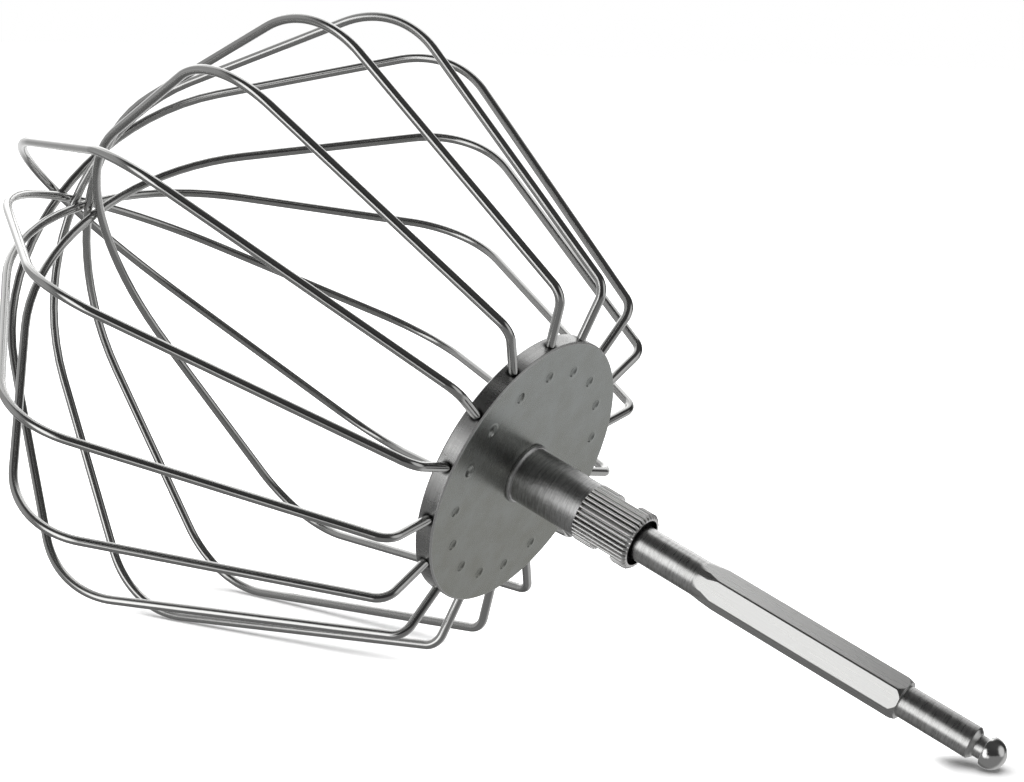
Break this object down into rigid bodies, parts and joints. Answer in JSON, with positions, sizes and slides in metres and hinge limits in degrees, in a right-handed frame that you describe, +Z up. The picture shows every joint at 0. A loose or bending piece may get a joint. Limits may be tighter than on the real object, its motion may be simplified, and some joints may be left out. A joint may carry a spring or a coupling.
{
  "type": "stand mixer wire whisk",
  "caption": "Balloon whisk for a stand mixer: bent steel wire loops set in the rim of a round hub disc, with a splined sleeve and a hexagonal drive shaft that ends in a ball tip.",
  "frame": {"origin": "on the floor under the middle of the whisk as it lies on its ball tip and two wires", "axes": "+X level along the shaft towards the ball tip, +Z up, +Y across the cage"},
  "size_m": [0.2414, 0.142, 0.1356],
  "materials": {
    "disc_steel": "satin turned",
    "sleeve_steel": "turned, with cut splines",
    "shaft_steel": "turned and milled",
    "wire_steel": "drawn and polished"
  },
  "bodies": {
    "root": {"hub_disc": "disc_steel", "splined_sleeve": "sleeve_steel", "drive_shaft": "shaft_steel", "wire_loop_1": "wire_steel", "wire_loop_2": "wire_steel", "wire_loop_3": "wire_steel", "wire_loop_4": "wire_steel", "wire_loop_5": "wire_steel", "wire_loop_6": "wire_steel", "wire_loop_7": "wire_steel", "wire_loop_8": "wire_steel"}
  },
  "joints": []
}
